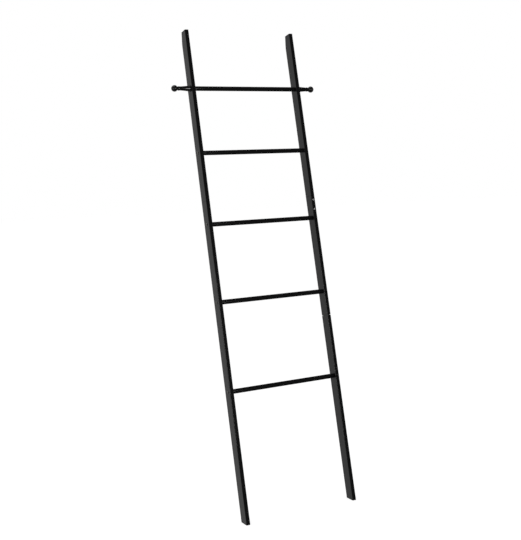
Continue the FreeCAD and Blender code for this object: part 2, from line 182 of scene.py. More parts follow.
class RingMesh:
    """A mesh woven from closed rings of spots, laid one after another."""

    def __init__(self, place: Callable[[Spot], Vector] = Vector) -> None:
        """Starts an empty mesh, in the frame that place turns each spot into."""
        self.place = place
        self.mesh = bmesh.new()

    def weave(self, rings: Sequence[Ring], endless: bool = False) -> None:
        """Joins each ring to the next with quads.

        Args:
            rings: rings with the same number of spots.
            endless: True if the last ring is joined to the first.
        """
        laid = [[self.mesh.verts.new(self.place(spot)) for spot in ring] for ring in rings]
        following = laid[1:] + laid[:1] if endless else laid[1:]
        for near, far in zip(laid, following):
            count = len(near)
            for number in range(count):
                after = (number + 1) % count
                self.mesh.faces.new((near[number], near[after], far[after], far[number]))
        if not endless:
            self.close(laid[0])
            self.close(laid[-1])

    def close(self, rim: list[bmesh.types.BMVert]) -> None:
        """Closes an end with one face, or leaves a ring that has shrunk to a pole to be merged."""
        if max((vert.co - rim[0].co).length for vert in rim) > POLE_WIDTH:
            self.mesh.faces.new(rim)

    def finish(self, name: str, finish: bpy.types.Material,
               crisp: float = CRISP_ANGLE) -> bpy.types.Object:
        """Merges poles, points every face outwards and makes the object.

        Args:
            name: the piece's name.
            finish: its material.
            crisp: least angle, in degrees, of an edge that stays crisp.

        Returns:
            The finished object at the origin.
        """
        bmesh.ops.remove_doubles(self.mesh, verts=self.mesh.verts, dist=POLE_WIDTH)
        bmesh.ops.recalc_face_normals(self.mesh, faces=self.mesh.faces)
        data = bpy.data.meshes.new(name)
        self.mesh.to_mesh(data)
        self.mesh.free()
        return smooth_piece(name, data, finish, crisp)


def smooth_piece(name: str, data: bpy.types.Mesh, finish: bpy.types.Material,
                 crisp: float = CRISP_ANGLE) -> bpy.types.Object:
    """Makes a piece of a mesh, smooth but for its crisp edges, with its flats kept flat.

    Args:
        name: the piece's name.
        data: its mesh, in the shared frame.
        finish: its material.
        crisp: least angle, in degrees, of an edge that stays crisp.

    Returns:
        The linked object.
    """
    data.materials.clear()
    data.materials.append(finish)
    data.shade_smooth()
    data.set_sharp_from_angle(angle=math.radians(crisp))
    piece = bpy.data.objects.new(name, data)
    bpy.context.scene.collection.objects.link(piece)
    weighted = piece.modifiers.new("even_flats", "WEIGHTED_NORMAL")
    weighted.keep_sharp = True
    return settle(piece)


def settle(piece: bpy.types.Object) -> bpy.types.Object:
    """Turns a piece's modifiers into a plain mesh.

    Args:
        piece: an object with live modifiers.

    Returns:
        The same object, with its evaluated mesh and no modifier.
    """
    graph = bpy.context.evaluated_depsgraph_get()
    made = bpy.data.meshes.new_from_object(piece.evaluated_get(graph), depsgraph=graph)
    made.name = piece.name
    piece.modifiers.clear()
    piece.data = made
    return piece


def rounded_section(breadth: float, depth: float, corner: float, steps: int = 6,
                    folds: Iterable[float] = ()) -> list[Pair]:
    """Outline of a rectangle with rounded corners, round the origin.

    Args:
        breadth: size from side to side.
        depth: size from front to back.
        corner: radius of the corners.
        steps: straight steps in each corner.
        folds: depths at which the two long sides get an extra point.

    Returns:
        Points as (across, back), anticlockwise from the front right corner.
    """
    half_x, half_y = breadth / 2 - corner, depth / 2 - corner
    outline = []
    for quarter, (sign_x, sign_y) in enumerate(((1, -1), (1, 1), (-1, 1), (-1, -1))):
        first = -math.pi / 2 + quarter * math.pi / 2
        for step in range(steps + 1):
            angle = first + step / steps * math.pi / 2
            outline.append((sign_x * half_x + corner * math.cos(angle),
                            sign_y * half_y + corner * math.sin(angle)))
        if quarter == 0:
            outline += [(breadth / 2, fold) for fold in sorted(folds)]
        if quarter == 2:
            outline += [(-breadth / 2, fold) for fold in sorted(folds, reverse=True)]
    return outline


# ------------------------------------------------------------------ node trees

class NodeRule:
    """A node tree of any kind, with short calls that add its nodes."""

    def __init__(self, tree: bpy.types.NodeTree) -> None:
        """Takes over a tree, with the nodes that it has already."""
        self.tree = tree

    def feed(self, socket: bpy.types.NodeSocket, given: object) -> None:
        """Links an input to another node's socket, or sets a plain value on it.

        Args:
            socket: the input.
            given: the other node's socket, or the value.
        """
        if isinstance(given, bpy.types.NodeSocket):
            self.tree.links.new(given, socket)
        else:
            socket.default_value = given

    def add(self, kind: str, inputs: Inputs | None = None, **settings: object) -> bpy.types.Node:
        """Adds a node, with its settings, values and links.

        Args:
            kind: the node's type.
            inputs: a value or a socket for each input, by name or number.
            **settings: the node's own properties.

        Returns:
            The new node.
        """
        node = self.tree.nodes.new(kind)
        for key, setting in settings.items():
            setattr(node, key, setting)
        for key, given in (inputs or {}).items():
            self.feed(node.inputs[key], given)
        return node

    def maths(self, operation: str, first: object, second: object) -> bpy.types.NodeSocket:
        """One sum on two values or sockets."""
        return self.add("ShaderNodeMath", {0: first, 1: second}, operation=operation).outputs[0]

    def rise(self, value: bpy.types.NodeSocket, limits: Pair) -> bpy.types.NodeSocket:
        """A share that rises softly from 0 at the first limit to 1 at the second."""
        inputs: Inputs = {"Value": value, "From Min": limits[0], "From Max": limits[1]}
        return self.add("ShaderNodeMapRange", inputs, interpolation_type="SMOOTHSTEP").outputs["Result"]

    def level(self, share: bpy.types.NodeSocket, low: object, high: object) -> bpy.types.NodeSocket:
        """A level between two, by a share from 0 to 1. A Mix node takes them as inputs 2 and 3."""
        return self.add("ShaderNodeMix", {"Factor": share, 2: low, 3: high}).outputs[0]


class ShapeTree(NodeRule):
    """A geometry node group with named inputs, written out in the script."""

    def __init__(self, name: str) -> None:
        """Starts a group that takes and gives geometry.

        Args:
            name: the group's name.
        """
        super().__init__(bpy.data.node_groups.new(name, "GeometryNodeTree"))
        for way in ("INPUT", "OUTPUT"):
            self.tree.interface.new_socket("Geometry", in_out=way, socket_type="NodeSocketGeometry")
        self.entry = self.tree.nodes.new("NodeGroupInput")
        self.exit = self.tree.nodes.new("NodeGroupOutput")

    def size(self, name: str, kind: str = "Float") -> bpy.types.NodeSocket:
        """Adds a named input of a kind of socket, and gives it as the group's nodes read it."""
        self.tree.interface.new_socket(name, in_out="INPUT", socket_type="NodeSocket" + kind)
        return self.entry.outputs[name]

    def give(self, geometry: bpy.types.NodeSocket, finish: bpy.types.NodeSocket) -> None:
        """Ends the group: instances made real, faces smooth, the finish set.

        Args:
            geometry: what the group has made.
            finish: the material's input.
        """
        real = self.add("GeometryNodeRealizeInstances", {"Geometry": geometry})
        smooth = self.add("GeometryNodeSetShadeSmooth", {"Geometry": real.outputs["Geometry"]})
        dressed = self.add("GeometryNodeSetMaterial",
                           {"Geometry": smooth.outputs["Geometry"], "Material": finish})
        self.feed(self.exit.inputs["Geometry"], dressed.outputs["Geometry"])

    def run(self, name: str, places: Iterable[Vector], values: dict[str, object]) -> bpy.types.Object:
        """Runs the group on loose points and keeps the result as a plain mesh.

        Args:
            name: the piece's name.
            places: where the points are.
            values: what each named input is set to.

        Returns:
            The linked object, with no modifier left on it.
        """
        seats = bpy.data.meshes.new(name + "_seats")
        seats.from_pydata([tuple(place) for place in places], [], [])
        piece = bpy.data.objects.new(name, seats)
        bpy.context.scene.collection.objects.link(piece)
        modifier = piece.modifiers.new("rule", "NODES")
        modifier.node_group = self.tree
        for item in self.tree.interface.items_tree:
            if item.in_out == "INPUT" and item.name in values:
                modifier[item.identifier] = values[item.name]
        return settle(piece)


def rung_tree() -> ShapeTree:
    """Rule of a rung: a thin closed section, as long as the rung, swept once round its centre line.

    Returns:
        The tree, which is run on a point at the middle of the rung.
    """
    tree = ShapeTree("rung_from_sizes")
    length, diameter, wall = (tree.size(name) for name in ("Rung Length", "Rung Diameter", "Wall"))
    lip, lip_steps = tree.size("Lip Radius"), tree.size("Lip Steps", "Int")
    round_steps, lean = tree.size("Steps Round", "Int"), tree.size("Lean")
    finish = tree.size("Finish", "Material")
    middle = tree.maths("MULTIPLY", tree.maths("SUBTRACT", diameter, wall), 0.5)
    path = tree.add("GeometryNodeCurvePrimitiveCircle", {"Resolution": round_steps, "Radius": middle})
    flat = tree.add("GeometryNodeCurvePrimitiveQuadrilateral", {"Width": wall, "Height": length})
    lips = tree.add("GeometryNodeFilletCurve", {
        "Curve": flat.outputs["Curve"], "Radius": lip, "Count": lip_steps, "Limit Radius": True},
        mode="POLY")
    swept = tree.add("GeometryNodeCurveToMesh", {
        "Curve": path.outputs["Curve"], "Profile Curve": lips.outputs["Curve"]})
    across = tree.add("GeometryNodeTransform", {
        "Geometry": swept.outputs["Mesh"], "Rotation": (0.0, math.pi / 2, 0.0)})
    leaning = tree.add("ShaderNodeCombineXYZ", {"X": tree.maths("MULTIPLY", lean, -1.0)})
    placed = tree.add("GeometryNodeInstanceOnPoints", {
        "Points": tree.entry.outputs["Geometry"], "Instance": across.outputs["Geometry"],
        "Rotation": leaning.outputs["Vector"]})
    tree.give(placed.outputs["Instances"], finish)
    return tree


def screw_tree() -> ShapeTree:
    """Rule of a row of screws: one on each seat, turned about its own axis by chance.

    Returns:
        The tree, which is run on a point at the seat of each screw's head.
    """
    tree = ShapeTree("screws_on_seats")
    pattern, facing = tree.size("Screw", "Object"), tree.size("Facing", "Rotation")
    play, seed = tree.size("Socket Turn"), tree.size("Seed", "Int")
    finish = tree.size("Finish", "Material")
    source = tree.add("GeometryNodeObjectInfo", {"Object": pattern, "As Instance": True})
    chance = tree.add("FunctionNodeRandomValue", {"Max": play, "Seed": seed}, data_type="FLOAT")
    spin = tree.add("ShaderNodeCombineXYZ", {"Z": chance.outputs["Value"]})
    turned = tree.add("FunctionNodeRotateRotation", {
        "Rotation": facing, "Rotate By": spin.outputs["Vector"]}, rotation_space="LOCAL")
    placed = tree.add("GeometryNodeInstanceOnPoints", {
        "Points": tree.entry.outputs["Geometry"], "Instance": source.outputs["Geometry"],
        "Rotation": turned.outputs["Rotation"]})
    tree.give(placed.outputs["Instances"], finish)
    return tree


# ------------------------------------------------------------------ finishes

@dataclass(frozen=True)
class Grain:
    """A cloudy pattern: grains to the metre, finer layers and their weight, closeness along each axis."""

    scale: float
    detail: float = 2.0
    stretch: Spot = (1.0, 1.0, 1.0)
    layer_weight: float = 0.55


@dataclass(frozen=True)
class Relief:
    """A fine relief: its depth, and how strongly it turns the light."""

    depth: float
    strength: float


class Shade(NodeRule):
    """A material's node tree, with short calls for the nodes that the finishes share."""

    def __init__(self, name: str) -> None:
        """Starts a material with its surface shader and the piece's own coordinates.

        Args:
            name: the material's name.
        """
        self.material = bpy.data.materials.new(name)
        self.material.use_nodes = True
        super().__init__(self.material.node_tree)
        self.surface = self.tree.nodes["Principled BSDF"]
        self.spots = self.tree.nodes.new("ShaderNodeTexCoord").outputs["Object"]

    def set(self, **values: object) -> None:
        """Sets constants, or links sockets, on the surface shader. Underscores stand for spaces."""
        for key, given in values.items():
            self.feed(self.surface.inputs[key.replace("_", " ")], given)

    def noise(self, grain: Grain) -> bpy.types.NodeSocket:
        """Lays a cloudy pattern in the piece's own coordinates.

        Args:
            grain: the pattern.

        Returns:
            The pattern's value, from 0 to 1.
        """
        spots = self.add("ShaderNodeMapping", {"Vector": self.spots, "Scale": grain.stretch})
        return self.add("ShaderNodeTexNoise", {
            "Vector": spots.outputs["Vector"], "Scale": grain.scale, "Detail": grain.detail,
            "Roughness": grain.layer_weight}).outputs["Fac"]

    def span(self, value: bpy.types.NodeSocket, to: Pair = (0.0, 1.0),
             limits: Pair = NOISE_LIMITS) -> bpy.types.NodeSocket:
        """Stretches a value from its own limits to two others.

        Args:
            value: the value.
            to: the limits that it is stretched to.
            limits: its own limits.

        Returns:
            The stretched value.
        """
        return self.add("ShaderNodeMapRange", {
            "Value": value, "From Min": limits[0], "From Max": limits[1], "To Min": to[0],
            "To Max": to[1]}).outputs["Result"]

    def blend(self, share: bpy.types.NodeSocket, low: Spot, high: Spot) -> bpy.types.NodeSocket:
        """A colour between two, by a share from 0 to 1. A Mix node takes them as inputs 6 and 7."""
        return self.add("ShaderNodeMix", {
            "Factor": share, 6: (*low, 1.0), 7: (*high, 1.0)}, data_type="RGBA").outputs[2]

    def dimple(self, height: bpy.types.NodeSocket, relief: Relief,
               under: bpy.types.NodeSocket | None = None) -> bpy.types.NodeSocket:
        """Lays a fine relief on the surface.

        Args:
            height: its height, from 0 to 1.
            relief: its depth and strength.
            under: another relief that it lies on, if there is one.

        Returns:
            The surface's turned normal.
        """
        inputs: Inputs = {"Height": height, "Distance": relief.depth, "Strength": relief.strength}
        if under is not None:
            inputs["Normal"] = under
        return self.add("ShaderNodeBump", inputs).outputs["Normal"]


@dataclass(frozen=True)
class PowderCoat:
    """Satin black coat, sprayed as powder and baked: a soft orange peel and a fine dark speckle."""

    name: str = "satin_powder_coat"
    dark: Spot = (0.0030, 0.0030, 0.0032)
    pale: Spot = (0.0048, 0.0048, 0.0050)
    roughness: Pair = (0.12, 0.165)
    speckle_roughness: Pair = (-0.015, 0.015)
    drift: Grain = Grain(9.0, 3.0, (1.0, 1.0, 0.35))
    peel: Grain = Grain(900.0)
    peel_relief: Relief = Relief(0.00005, 0.45)
    speckle: Grain = Grain(4200.0, 1.0)
    speckle_relief: Relief = Relief(0.000008, 0.45)
    ior: float = 1.5

    def make(self) -> bpy.types.Material:
        """Builds the material.

        Returns:
            The material, on the piece's own coordinates.
        """
        shade = Shade(self.name)
        peel, speckle, drift = (shade.noise(grain) for grain in (self.peel, self.speckle, self.drift))
        rough = shade.maths("ADD", shade.span(drift, self.roughness),
                            shade.span(speckle, self.speckle_roughness))
        relief = shade.dimple(speckle, self.speckle_relief, shade.dimple(peel, self.peel_relief))
        shade.set(Base_Color=shade.blend(shade.span(speckle), self.dark, self.pale),
                  Roughness=rough, Normal=relief, IOR=self.ior)
        return shade.material


@dataclass(frozen=True)
class RubbedCoat:
    """Thin coat on a joiner, rubbed through to the metal along the rail where it slides."""

    name: str = "rubbed_joiner_coat"
    coat: Spot = (0.006, 0.006, 0.0065)
    bare: Spot = (0.10, 0.10, 0.098)
    streaks: Grain = Grain(700.0, 3.0, (1.0, 1.0, 0.03))
    streak_relief: Relief = Relief(0.00001, 0.4)
    rubbed_through: Pair = (0.60, 0.72)
    bare_metal: float = 0.8
    roughness: Pair = (0.28, 0.42)
    ior: float = 1.5

    def make(self) -> bpy.types.Material:
        """Builds the material.

        Returns:
            The material, on the piece's own coordinates.
        """
        shade = Shade(self.name)
        streaks = shade.noise(self.streaks)
        rubbed = shade.span(streaks, limits=self.rubbed_through)
        shade.set(Base_Color=shade.blend(rubbed, self.coat, self.bare),
                  Roughness=shade.span(streaks, self.roughness),
                  Metallic=shade.span(rubbed, (0.0, self.bare_metal), (0.0, 1.0)),
                  Normal=shade.dimple(streaks, self.streak_relief), IOR=self.ior)
        return shade.material


@dataclass(frozen=True)
class GlossCoat:
    """Deep gloss black on the turned finials, with the faintest turning rings under it."""

    name: str = "gloss_finial_coat"
    dark: Spot = (0.0030, 0.0030, 0.0032)
    pale: Spot = (0.0052, 0.0052, 0.0055)
    roughness: Pair = (0.06, 0.12)
    cloud: Grain = Grain(55.0, 3.0)
    peel: Grain = Grain(650.0)
    peel_relief: Relief = Relief(0.00001, 0.18)
    rings_to_metre: float = 2600.0
    ring_wander: float = 0.6
    ring_relief: Relief = Relief(0.0000015, 0.25)
    ior: float = 1.52

    def make(self) -> bpy.types.Material:
        """Builds the material.

        Returns:
            The material, on the piece's own coordinates.
        """
        shade = Shade(self.name)
        cloud, peel = shade.noise(self.cloud), shade.noise(self.peel)
        rings = shade.add("ShaderNodeTexWave", {
            "Vector": shade.spots, "Scale": self.rings_to_metre / FULL_TURN,
            "Distortion": self.ring_wander, "Detail": 1.0},
            wave_type="BANDS", bands_direction="X").outputs["Fac"]
        relief = shade.dimple(rings, self.ring_relief, shade.dimple(peel, self.peel_relief))
        shade.set(Base_Color=shade.blend(shade.span(cloud), self.dark, self.pale),
                  Roughness=shade.span(cloud, self.roughness), Normal=relief, IOR=self.ior)
        return shade.material


@dataclass(frozen=True)
class GrainedPlastic:
    """Moulded black plastic with a fine spark-eroded grain."""

    name: str = "grained_cap_plastic"
    dark: Spot = (0.0035, 0.0035, 0.0037)
    pale: Spot = (0.0075, 0.0075, 0.0078)
    roughness: Pair = (0.42, 0.52)
    cloud: Grain = Grain(160.0)
    cells_to_metre: float = 3600.0
    cell_limits: Pair = (0.1, 0.8)
    cell_relief: Relief = Relief(0.00002, 0.45)
    ior: float = 1.46

    def make(self) -> bpy.types.Material:
        """Builds the material.

        Returns:
            The material, on the piece's own coordinates.
        """
        shade = Shade(self.name)
        cells = shade.add("ShaderNodeTexVoronoi", {
            "Vector": shade.spots, "Scale": self.cells_to_metre}).outputs["Distance"]
        shade.set(Base_Color=shade.blend(shade.span(cells, limits=self.cell_limits), self.dark, self.pale),
                  Roughness=shade.span(shade.noise(self.cloud), self.roughness),
                  Normal=shade.dimple(cells, self.cell_relief), IOR=self.ior)
        return shade.material


@dataclass(frozen=True)
class SoleRubber:
    """Matt black rubber, a little dusty where it meets the floor."""

    name: str = "sole_rubber"
    dark: Spot = (0.0040, 0.0040, 0.0040)
    dusty: Spot = (0.016, 0.0155, 0.015)
    dust_height: float = 0.0016
    dust_share: Pair = (0.0, 0.6)
    roughness: Pair = (0.55, 0.70)
    grain: Grain = Grain(1500.0)
    grain_relief: Relief = Relief(0.00003, 0.5)
    ior: float = 1.5

    def make(self) -> bpy.types.Material:
        """Builds the material.

        Returns:
            The material, on the piece's own coordinates.
        """
        shade = Shade(self.name)
        height = shade.add("ShaderNodeSeparateXYZ", {"Vector": shade.spots}).outputs["Z"]
        low = shade.span(height, (1.0, 0.0), (0.0, self.dust_height))
        grain = shade.noise(self.grain)
        dust = shade.maths("MULTIPLY", low, shade.span(grain, self.dust_share))
        shade.set(Base_Color=shade.blend(dust, self.dark, self.dusty),
                  Roughness=shade.span(grain, self.roughness),
                  Normal=shade.dimple(grain, self.grain_relief), IOR=self.ior)
        return shade.material


@dataclass(frozen=True)
class ScrewSteel:
    """Steel of a screw, stud or plug, with turning marks and a thin plating or a black oxide."""

    name: str
    tone: Spot
    worn: Spot
    roughness: Pair
    brushing: Grain = Grain(2400.0, 3.0, (1.0, 1.0, 0.35))
    brushed_relief: Relief = Relief(0.000008, 0.5)
    blotches: Grain = Grain(380.0)
    ior: float = 1.6

    def make(self) -> bpy.types.Material:
        """Builds the material.

        Returns:
            The material, on the piece's own coordinates.
        """
        shade = Shade(self.name)
        brushed = shade.noise(self.brushing)
        shade.set(Base_Color=shade.blend(shade.span(shade.noise(self.blotches)), self.tone, self.worn),
                  Roughness=shade.span(brushed, self.roughness), Metallic=1.0,
                  Normal=shade.dimple(brushed, self.brushed_relief), IOR=self.ior)
        return shade.material


@dataclass(frozen=True)
class Finishes:
    """Every finish on the ladder."""

    coat: bpy.types.Material
    joiner: bpy.types.Material
    finial: bpy.types.Material
    cap: bpy.types.Material
    sole: bpy.types.Material
    oxide: bpy.types.Material
    plated: bpy.types.Material
    plug: bpy.types.Material

    @classmethod
    def mixed(cls) -> Finishes:
        """Makes all the finishes.

        Returns:
            The set of their materials.
        """
        oxide = ScrewSteel("black_oxide_steel", tone=(0.20, 0.196, 0.188), worn=(0.26, 0.253, 0.24),
                           roughness=(0.26, 0.38))
        plated = ScrewSteel("zinc_plated_steel", tone=(0.52, 0.52, 0.53), worn=(0.66, 0.65, 0.62),
                            roughness=(0.20, 0.34))
        plug = ScrewSteel("turned_plug_steel", tone=(0.38, 0.38, 0.39), worn=(0.50, 0.49, 0.47),
                          roughness=(0.30, 0.45))
        return cls(*(finish.make() for finish in (
            PowderCoat(), RubbedCoat(), GlossCoat(), GrainedPlastic(), SoleRubber(), oxide, plated, plug)))


def fit(piece: bpy.types.Object, node: str) -> None:
    """Rides a finished piece on the ladder in place of its solids, and names it in the log.

    Args:
        piece: the finished object.
        node: the CAD node that it stands for.
    """
    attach(piece, ROOT)
    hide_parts(node)
    log.info("%s: %d faces, for %s", piece.name, len(piece.data.polygons), node)


# ------------------------------------------------------------------ rails

@dataclass
class Rail:
    """One rail: three lengths of tube, whose ends are rounded outside and filed inside."""

    side: Side
    sizes: LadderSizes
    end_round: float = 0.00035
    least_corner: float = 0.0003

    def section(self, inset: float, fold: float | None) -> list[Pair]:
        """Draws the tube's outline some way in from its outer face.

        Args:
            inset: how far in it lies.
            fold: depth at which its long sides get an extra point, if they do.

        Returns:
            Points as (across, back).
        """
        sizes = self.sizes
        corner = max(sizes.rail_corner - inset, self.least_corner)
        return rounded_section(sizes.rail_breadth - 2 * inset, sizes.rail_depth - 2 * inset, corner,
                               folds=[] if fold is None else [fold])

    def tube(self, low: Callable[[float], float], high: Callable[[float], float],
             fold: float | None) -> list[Ring]:
        """Rings of a hollow tube, up its outside and down its inside.

        Args:
            low: height of the lower end at a depth.
            high: height of the upper end at a depth.
            fold: depth at which the upper end changes slope, if it does.

        Returns:
            Rings that join up without end.
        """
        wall, outer, filed = self.sizes.rail_wall, self.end_round, self.end_round / 2
        halfway = outer * (1.0 - math.sqrt(0.5))
        outside = [(outer, 0.0), (halfway, halfway), (0.0, outer)]
        inside = [(wall, filed), (wall - filed / 2, filed / 2), (wall - filed, 0.0)]
        stations = [(inset, low, rise) for inset, rise in outside]
        stations += [(inset, high, -rise) for inset, rise in reversed(outside)]
        stations += [(inset, high, -rise) for inset, rise in reversed(inside)]
        stations += [(inset, low, rise) for inset, rise in inside]
        middle = self.side.value * self.sizes.rail_middle
        return [[(middle + across, back, end(back) + rise) for across, back in self.section(inset, fold)]
                for inset, end, rise in stations]

    def build(self, finish: bpy.types.Material) -> None:
        """Makes the three lengths and fits them over their solids.

        Args:
            finish: their material.
        """
        sizes = self.sizes
        gap = sizes.open_seam_gap if self.side is Side.RIGHT else sizes.seam_gap
        half_gap = sizes.seam_gap / 2
        top = sizes.rail_length - sizes.cap_thickness
        fold = sizes.wall_depth(top, sizes.pad_proud)
        ends: dict[Stretch, tuple] = {
            Stretch.LOWER: (lambda back: sizes.above_floor(sizes.sole_thickness, back),
                            lambda back: sizes.lower_seam + half_gap - gap, None),
            Stretch.MIDDLE: (lambda back: sizes.lower_seam + half_gap,
                             lambda back: sizes.upper_seam - half_gap, None),
            Stretch.UPPER: (lambda back: sizes.upper_seam + half_gap,
                            lambda back: min(top, sizes.wall_height(back, sizes.pad_proud)), fold)}
        for stretch, (low, high, turn) in ends.items():
            mesh = RingMesh(sizes.place)
            mesh.weave(self.tube(low, high, turn), endless=True)
            name = f"{self.side.label}_{stretch.value}_rail"
            fit(mesh.finish(name + "_coated", finish), name)


# ------------------------------------------------------------------ rungs

@dataclass
class Rungs:
    """The five round rungs that butt on the rails' inner faces."""

    sizes: LadderSizes
    diameter: float = 0.017
    wall: float = 0.0012
    lip: float = 0.0003
    lip_steps: int = 4
    steps_round: int = 96

    def build(self, finish: bpy.types.Material) -> None:
        """Runs the rung rule once for each rung.

        Args:
            finish: their material.
        """
        tree = rung_tree()
        for number, height in enumerate(self.sizes.rungs, start=1):
            name = f"rung_{number}"
            piece = tree.run(name + "_coated", [self.sizes.place((0.0, 0.0, height))], {
                "Rung Length": 2 * self.sizes.rung_reach, "Rung Diameter": self.diameter,
                "Wall": self.wall, "Lip Radius": self.lip, "Lip Steps": self.lip_steps,
                "Steps Round": self.steps_round, "Lean": self.sizes.lean, "Finish": finish})
            fit(piece, name)


# ------------------------------------------------------------------ screws

@dataclass
class ButtonScrew:
    """A round-headed screw with a hexagon socket and a rolled thread, standing on Z.

    The drill point under the socket is a share of its width, the head's bulge one of its slope, and the
    thread's depth one of its pitch, of which the tip has only a part.
    """

    name: str
    head_diameter: float
    head_height: float
    rim: float
    crown: float
    thread: float
    reach: float
    pitch: float
    socket: float
    socket_depth: float
    rim_edge: float = 0.00015
    socket_edge: float = 0.0001
    neck: float = 0.0006
    drill_point: float = 0.125
    bulge: float = 0.12
    thread_depth: float = 0.54
    tip_depth: float = 0.4
    steps_round: int = 48
    steps_dome: int = 7
    rings_per_turn: int = 8
    crisp: float = 40.0

    def dome(self) -> list[Pair]:
        """Outline of the head from its seat to its crown.

        Returns:
            Points as (radius, height).
        """
        half, crown = self.head_diameter / 2, self.crown / 2
        rise, run = self.head_height - self.rim, half - crown
        outline = [(self.thread / 2, 0.0), (half - self.rim_edge, 0.0), (half, self.rim_edge),
                   (half, self.rim)]
        slope = math.atan2(rise, run)
        for step in range(1, self.steps_dome + 1):
            share = step / self.steps_dome
            swell = math.sin(share * math.pi) * self.bulge * math.hypot(run, rise)
            outline.append((half - run * share + swell * math.sin(slope),
                            self.rim + rise * share + swell * math.cos(slope)))
        return outline

    def hexagon(self, angle: float) -> float:
        """Distance from the axis to the socket's wall at an angle."""
        sixth = FULL_TURN / 6
        return self.socket / 2 / math.cos((angle + sixth / 2) % sixth - sixth / 2)

    def thread_radius(self, angle: float, height: float) -> float:
        """Radius of the thread.

        Args:
            angle: the angle round the axis.
            height: the height, which is less than 0 under the head.

        Returns:
            The distance from the axis.
        """
        phase = (height / self.pitch - angle / FULL_TURN) % 1.0
        lead_out = min(1.0, max(0.0, (height + self.reach) / self.pitch))
        depth = self.thread_depth * self.pitch * (1.0 - abs(2.0 * phase - 1.0))
        return self.thread / 2 - depth * min(1.0, self.tip_depth + lead_out)

    def ring(self, height: float, radius_at: Callable[[float], float]) -> Ring:
        """One ring at a height.

        Args:
            height: the height.
            radius_at: gives the radius at an angle.

        Returns:
            The ring's spots.
        """
        angles = [FULL_TURN * step / self.steps_round for step in range(self.steps_round)]
        return [(radius_at(angle) * math.cos(angle), radius_at(angle) * math.sin(angle), height)
                for angle in angles]

    def rings(self) -> list[Ring]:
        """Rings of the whole screw, from the thread's tip to the bottom of its socket.

        Returns:
            The rings, with a pole at both ends.
        """
        tip, top = -self.reach, self.head_height
        count = int(self.reach / self.pitch * self.rings_per_turn)
        rings = [self.ring(tip, lambda angle: 0.0)]
        for step in range(count + 1):
            height = tip + (self.reach - self.neck) * step / count
            rings.append(self.ring(height, lambda angle: self.thread_radius(angle, height)))
        for radius, height in self.dome():
            rings.append(self.ring(height, lambda angle: radius))
        floor = top - self.socket_depth
        for widening, height in ((self.socket_edge, top), (0.0, top - self.socket_edge), (0.0, floor)):
            rings.append(self.ring(height, lambda angle: self.hexagon(angle) + widening))
        rings.append(self.ring(floor - self.socket * self.drill_point, lambda angle: 0.0))
        return rings

    def build(self, finish: bpy.types.Material) -> bpy.types.Object:
        """Makes one screw at the origin, to be set on its seats by the screw rule.

        Args:
            finish: its material.

        Returns:
            The screw.
        """
        mesh = RingMesh()
        mesh.weave(self.rings())
        return mesh.finish(self.name, finish, self.crisp)


@dataclass
class Screws:
    """The rung screws in the rails' outer faces and the small screws of the upper joiners."""

    sizes: LadderSizes
    near_drop: float = 0.017
    far_drop: float = 0.053
    socket_turn: float = math.pi / 3
    rung_seed: int = 11
    joiner_seed: int = 12
    rung_screw: ButtonScrew = field(default_factory=lambda: ButtonScrew(
        "rung_screw_pattern", head_diameter=0.011, head_height=0.0032, rim=0.0008, crown=0.0056,
        thread=0.006, reach=0.029, pitch=0.001, socket=0.004, socket_depth=0.002))
    joiner_screw: ButtonScrew = field(default_factory=lambda: ButtonScrew(
        "joiner_screw_pattern", head_diameter=0.0076, head_height=0.0022, rim=0.0006, crown=0.0038,
        thread=0.004, reach=0.006, pitch=0.0007, socket=0.0025, socket_depth=0.0013))
    tree: ShapeTree = field(default_factory=screw_tree)

    def facing(self, outwards: Spot) -> Spot:
        """Turn that swings a screw's axis from Z to a direction in the leaning plane."""
        target = self.sizes.turn() @ Vector(outwards)
        return tuple(Vector((0.0, 0.0, 1.0)).rotation_difference(target).to_euler())

    def set_row(self, name: str, pattern: bpy.types.Object, outwards: Spot, seed: int,
                seats: list[Spot]) -> None:
        """Sets a row of screws on their seats.

        Args:
            name: the CAD node that the row stands for.
            pattern: one such screw, standing on Z.
            outwards: direction of the heads in the leaning plane.
            seed: fixed seed of the sockets' turns.
            seats: where the heads sit in the leaning plane.
        """
        piece = self.tree.run(name + "_turned", [self.sizes.place(seat) for seat in seats], {
            "Screw": pattern, "Facing": self.facing(outwards), "Socket Turn": self.socket_turn,
            "Seed": seed, "Finish": pattern.active_material})
        fit(piece, name)

    def build(self, finishes: Finishes) -> None:
        """Makes both kinds of screw and sets them in both rails.

        Args:
            finishes: the ladder's finishes.
        """
        sizes = self.sizes
        big = self.rung_screw.build(finishes.oxide)
        small = self.joiner_screw.build(finishes.plated)
        for side in Side:
            outer, middle = side.value * sizes.rail_span / 2, side.value * sizes.rail_middle
            self.set_row(side.label + "_rung_screws", big, (side.value, 0.0, 0.0),
                         self.rung_seed, [(outer, 0.0, height) for height in sizes.rungs[:-1]])
            face = -side.value * sizes.rail_depth / 2
            self.set_row(side.label + "_joiner_screws", small, (0.0, -side.value, 0.0),
                         self.joiner_seed, [(middle, face, sizes.upper_seam - drop)
                                            for drop in (self.near_drop, self.far_drop)])
        for pattern in (big, small):
            bpy.data.objects.remove(pattern)


# ------------------------------------------------------------------ finials

